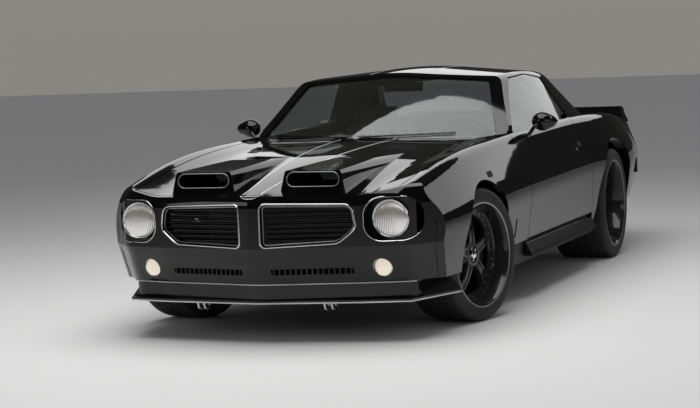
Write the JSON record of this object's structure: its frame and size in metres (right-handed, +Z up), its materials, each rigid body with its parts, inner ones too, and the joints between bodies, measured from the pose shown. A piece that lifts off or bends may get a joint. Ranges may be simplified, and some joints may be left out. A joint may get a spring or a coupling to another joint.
{
  "type": "two-door muscle car",
  "caption": "Low two-door muscle car with a long scooped bonnet, twin-nostril nose, wide dished wheels, opening doors, bonnet and boot, and linked steering.",
  "frame": {"origin": "on the ground, under the middle of the car's length and width", "axes": "+X is the car's left, +Y its tail, +Z up"},
  "size_m": [1.94, 4.8615, 1.2552],
  "materials": {
    "body_paint": "deep gloss black paint",
    "lower_trim": "satin black moulded trim",
    "glass": "tinted safety glass",
    "lamp": "clear patterned lamp lens",
    "tail_lamp": "red lamp lens",
    "chassis": "satin black chassis paint",
    "engine": "dark cast metal",
    "alloy": "gloss black wheel with a bright lip",
    "tyre": "black rubber",
    "brake": "machined brake iron",
    "exhaust": "dull steel",
    "seat": "black seat cover",
    "interior": "grained black plastic",
    "grille": "black grille"
  },
  "bodies": {
    "body": {"nose_panel": "body_paint", "fender_left": "body_paint", "fender_right": "body_paint", "cowl_panel": "body_paint", "roof_panel": "body_paint", "windscreen": "glass", "rear_window": "glass", "rear_deck": "body_paint", "quarter_left": "body_paint", "quarter_right": "body_paint", "tail_panel": "body_paint", "tail_lamps": "tail_lamp", "rear_bumper": "body_paint", "spoiler_ends": "body_paint", "grilles": "grille", "front_lamps": "lamp", "front_valance": "lower_trim", "air_dam": "lower_trim", "rear_axle": "chassis", "front_subframe": "chassis", "control_arms": "chassis", "engine": "engine", "driveshaft": "chassis", "radiator": "engine", "fuel_tank": "chassis", "exhaust": "exhaust", "floor_pan": "chassis", "firewall": "chassis", "boot_tub": "chassis", "side_skirts": "lower_trim", "front_seats": "seat", "rear_seat": "seat", "dashboard": "interior"},
    "bonnet": {"bonnet": "body_paint"},
    "boot_lid": {"boot_lid": "body_paint", "spoiler_centre": "body_paint"},
    "steering_wheel": {"steering_wheel": "interior"},
    "door_left": {"door_left": "body_paint", "door_glass_left": "glass", "mirror_left": "body_paint"},
    "knuckle_left": {"knuckle_left": "chassis"},
    "wheel_front_left": {"tyre_front_left": "tyre", "rim_front_left": "alloy", "disc_front_left": "brake"},
    "wheel_rear_left": {"tyre_rear_left": "tyre", "rim_rear_left": "alloy", "disc_rear_left": "brake"},
    "door_right": {"door_right": "body_paint", "door_glass_right": "glass", "mirror_right": "body_paint"},
    "knuckle_right": {"knuckle_right": "chassis"},
    "wheel_front_right": {"tyre_front_right": "tyre", "rim_front_right": "alloy", "disc_front_right": "brake"},
    "wheel_rear_right": {"tyre_rear_right": "tyre", "rim_rear_right": "alloy", "disc_rear_right": "brake"}
  },
  "joints": [
    {"name": "door_left_swing", "type": "hinge", "parent": "body", "child": "door_left", "pos_m": [0.852, -0.782, 0.565], "axis": [0, 0, -1], "range_deg": [0, 65]},
    {"name": "door_right_swing", "type": "hinge", "parent": "body", "child": "door_right", "pos_m": [-0.852, -0.782, 0.565], "axis": [0, 0, 1], "range_deg": [0, 65]},
    {"name": "bonnet_lift", "type": "hinge", "parent": "body", "child": "bonnet", "pos_m": [0, -0.558, 0.826], "axis": [-1, 0, 0], "range_deg": [0, 50]},
    {"name": "boot_lid_lift", "type": "hinge", "parent": "body", "child": "boot_lid", "pos_m": [0, 1.412, 0.832], "axis": [1, 0, 0], "range_deg": [0, 60]},
    {"name": "steer_left", "type": "hinge", "parent": "body", "child": "knuckle_left", "pos_m": [0.68, -1.45, 0.337], "axis": [0, 0, 1], "range_deg": [-19, 47]},
    {"name": "steer_right", "type": "hinge", "parent": "body", "child": "knuckle_right", "pos_m": [-0.68, -1.45, 0.337], "axis": [0, 0, 1], "range_deg": [-19, 47]},
    {"name": "steering_wheel_turn", "type": "hinge", "parent": "body", "child": "steering_wheel", "pos_m": [0.37, -0.056, 0.8], "axis": [0, 0.9135, 0.4067], "range_deg": [-266, 658]},
    {"name": "wheel_front_left_spin", "type": "hinge", "parent": "knuckle_left", "child": "wheel_front_left", "pos_m": [0.68, -1.45, 0.337], "axis": [0.9703, -0.2419, 0], "continuous": true},
    {"name": "wheel_front_right_spin", "type": "hinge", "parent": "knuckle_right", "child": "wheel_front_right", "pos_m": [-0.68, -1.45, 0.337], "axis": [0.9703, -0.2419, 0], "continuous": true},
    {"name": "wheel_rear_left_spin", "type": "hinge", "parent": "body", "child": "wheel_rear_left", "pos_m": [0.75, 1.296, 0.341], "axis": [1, 0, 0], "continuous": true},
    {"name": "wheel_rear_right_spin", "type": "hinge", "parent": "body", "child": "wheel_rear_right", "pos_m": [-0.75, 1.296, 0.341], "axis": [1, 0, 0], "continuous": true}
  ],
  "couplings": [
    {"joint": "steer_right", "follows": "steer_left", "ratio": 1},
    {"joint": "steering_wheel_turn", "follows": "steer_left", "ratio": 14}
  ]
}
